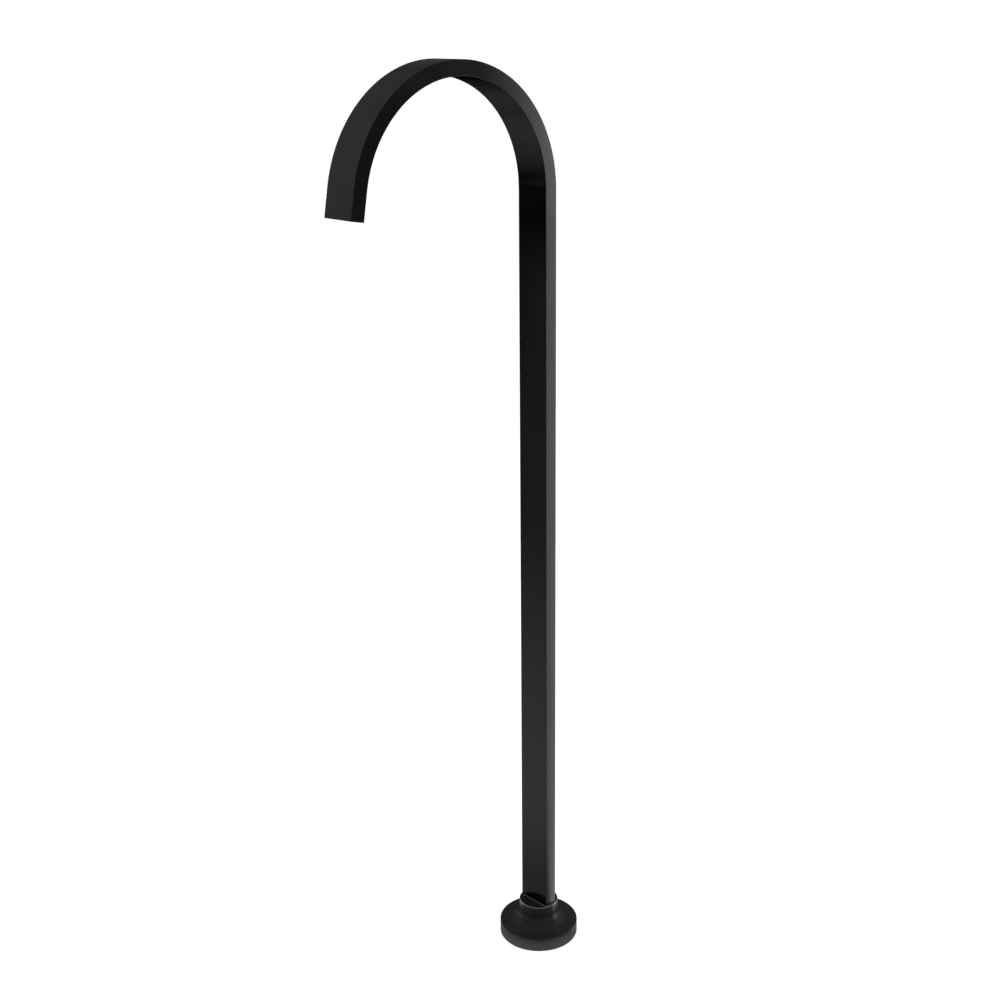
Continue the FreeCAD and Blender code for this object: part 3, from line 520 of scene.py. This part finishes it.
def studio_floor():
    """A pale floor: near white and shadowed for the camera, with pools of light for reflections."""
    mesh = bpy.data.meshes.new("floor")
    corners = [(x * FLOOR_HALF, y * FLOOR_HALF, 0) for x, y in ((-1, -1), (1, -1), (1, 1), (-1, 1))]
    mesh.from_pydata(corners, [], [(0, 1, 2, 3)])
    floor = bpy.data.objects.new("floor", mesh)
    bpy.context.scene.collection.objects.link(floor)
    material, tree = new_finish("pale_floor")
    ray = add(tree, "LightPath")
    place = add(tree, "TexCoord")
    spot = place, "Object"
    across = share_along(tree, spot, ACROSS)
    away = share_along(tree, spot, AWAY)
    length = add(tree, "VectorMath", {0: spot}, operation="LENGTH")
    distance = length, "Value"

    # the pool of light round the object: dim at the flange, palest at 0.33 m and even from 1.6 m on
    inner_edge = add(tree, "MapRange", {"Value": distance, "From Min": 0.05, "From Max": 0.33,
                                        "To Min": 0.45, "To Max": 1.0}, **SOFT)
    pool = add(tree, "MapRange", {"Value": distance, "From Min": 0.25, "From Max": 1.6,
                                  "To Min": 0.36, "To Max": 0.125}, **SOFT)
    # its far edge, which lies nearer behind the object than in front of it
    far_in_front = add(tree, "MapRange", {"Value": distance, "From Min": 4.0, "From Max": 6.6,
                                          "To Min": 1.0, "To Max": 0.0}, **SOFT)
    far_behind = add(tree, "MapRange", {"Value": distance, "From Min": 1.6, "From Max": 3.6,
                                        "To Min": 1.0, "To Max": 0.0}, **SOFT)
    behind = add(tree, "MapRange", {"Value": away, "From Min": -0.034, "From Max": -0.01}, **SOFT)
    outer_edge = add(tree, "Mix", {"Factor": behind, 2: far_in_front, 3: far_behind}, data_type="FLOAT")
    # dimmer towards the camera, and behind the object brighter at the sides than in the middle
    front_side = add(tree, "MapRange", {"Value": away, "From Min": -0.9, "From Max": -0.3,
                                        "To Min": 0.5, "To Max": 1.0}, **SOFT)
    back_start = add(tree, "MapRange", {"Value": away, "From Min": -0.01, "From Max": 0.12}, **SOFT)
    back_fading = add(tree, "MapRange", {"Value": away, "From Min": 0.12, "From Max": 0.65,
                                         "To Min": 1.5, "To Max": 0.48})
    back_middle = add(tree, "MapRange", {"Value": away, "From Min": 0.88, "From Max": 1.0,
                                         "To Min": 1.0, "To Max": 0.25}, **SOFT)
    back_level = add(tree, "Math", {0: back_fading, 1: back_middle}, operation="MULTIPLY")
    back_side = add(tree, "Mix", {"Factor": back_start, 2: 1.0, 3: back_level}, data_type="FLOAT")
    for share in (inner_edge, outer_edge, front_side, back_side):
        pool = add(tree, "Math", {0: pool, 1: share}, operation="MULTIPLY")

    # the white wall's image on the floor, lined up with the column's right side instead of its axis
    beside = add(tree, "VectorMath", {0: spot, 1: (TUBE_WIDTH / 2 * MM, 0.0, 0.0)}, operation="SUBTRACT")
    image = white_wall(tree, across, share_along(tree, beside, AWAY))
    image_level = add(tree, "MapRange", {"Value": distance, "From Min": 0.2, "From Max": 2.0,
                                         "To Min": 1.32, "To Max": 1.58})
    wall = add(tree, "Math", {0: image, 1: image_level}, operation="MULTIPLY")
    bright = add(tree, "Math", {0: pool, 1: wall}, operation="MAXIMUM")

    # a pale crescent on the floor behind the flange lights the sides of its neck
    crescent_side = add(tree, "MapRange", {"Value": away, "From Min": 0.1, "From Max": 0.3}, **SOFT)
    crescent_edge = add(tree, "MapRange", {"Value": distance, "From Min": 0.14, "From Max": 0.09,
                                           "To Min": 0.0, "To Max": 0.6}, **SOFT)
    crescent = add(tree, "Math", {0: crescent_side, 1: crescent_edge}, operation="MULTIPLY")
    wide = add(tree, "Math", {0: bright, 1: crescent}, operation="MAXIMUM")

    # close to the flange the light comes from the camera's side
    near_level = add(tree, "MapRange", {"Value": away, "From Min": -0.95, "From Max": -0.2,
                                        "To Min": 0.9, "To Max": 0.3}, **SOFT)
    near_edge = add(tree, "MapRange", {"Value": distance, "From Min": 0.058, "From Max": 0.07}, **SOFT)
    lit = add(tree, "Mix", {"Factor": near_edge, 2: near_level, 3: wide}, data_type="FLOAT")

    plain = add(tree, "Mix", {"Factor": (ray, "Is Glossy Ray"), 2: FLOOR_LIGHT, 3: lit}, data_type="FLOAT")
    shown = add(tree, "Mix", {"Factor": (ray, "Is Camera Ray"), 2: plain, 3: FLOOR_SEEN}, data_type="FLOAT")
    light = add(tree, "Emission", {"Strength": shown})
    # the camera also sees a matt coat, which takes the object's shadow
    tint = add(tree, "Math", {0: (ray, "Is Camera Ray"), 1: FLOOR_MATT}, operation="MULTIPLY")
    matt = add(tree, "BsdfDiffuse", {"Color": tint})
    both = add(tree, "AddShader", {0: light, 1: matt})
    add(tree, "OutputMaterial", {"Surface": both})
    material.cycles.emission_sampling = "NONE"
    mesh.materials.append(material)


def softbox(name, place, size, power):
    """A square area lamp at a place, turned to face the object's middle, that no finish mirrors."""
    lamp = bpy.data.lights.new(name, "AREA")
    lamp.shape = "SQUARE"
    lamp.size = size
    lamp.energy = power
    holder = bpy.data.objects.new(name, lamp)
    holder.location = place
    holder.rotation_euler = (Vector(place) - Vector(MIDDLE)).to_track_quat("Z", "Y").to_euler()
    holder.visible_glossy = False
    bpy.context.scene.collection.objects.link(holder)


def picture_camera():
    """The camera at the photograph's place.

    Its turn, its place in metres and its lens all come from one fit to the object's outline there.
    """
    azimuth, pitch, roll = math.radians(45.45), math.radians(15.93), math.radians(-0.51)
    away, aside, height = 1.5692, -0.04117, 1.0691
    up = Vector((0, 0, 1))
    back = Vector((math.sin(azimuth), -math.cos(azimuth), 0))
    right = Vector((math.cos(azimuth), math.sin(azimuth), 0))
    towards = back * math.cos(pitch) + up * math.sin(pitch)
    over = up * math.cos(pitch) - back * math.sin(pitch)
    level = right * math.cos(roll) + over * math.sin(roll)
    upright = over * math.cos(roll) - right * math.sin(roll)
    lens = bpy.data.cameras.new("camera")
    lens.sensor_width = 36.0
    lens.lens = 53.64
    lens.shift_x = -0.0002
    lens.shift_y = -0.0652
    camera = bpy.data.objects.new("camera", lens)
    turned = Matrix((level, upright, towards)).transposed().to_4x4()
    camera.matrix_world = Matrix.Translation(back * away + right * aside + up * height) @ turned
    bpy.context.scene.collection.objects.link(camera)
    bpy.context.scene.camera = camera


bpy.context.scene.world = studio_world()
studio_floor()
softbox("key_right", (1.6, 1.3, 1.8), size=1.0, power=30.0)
softbox("fill_left", (-1.8, -0.6, 1.6), size=1.2, power=12.0)
picture_camera()
bpy.context.scene.view_settings.view_transform = "Standard"
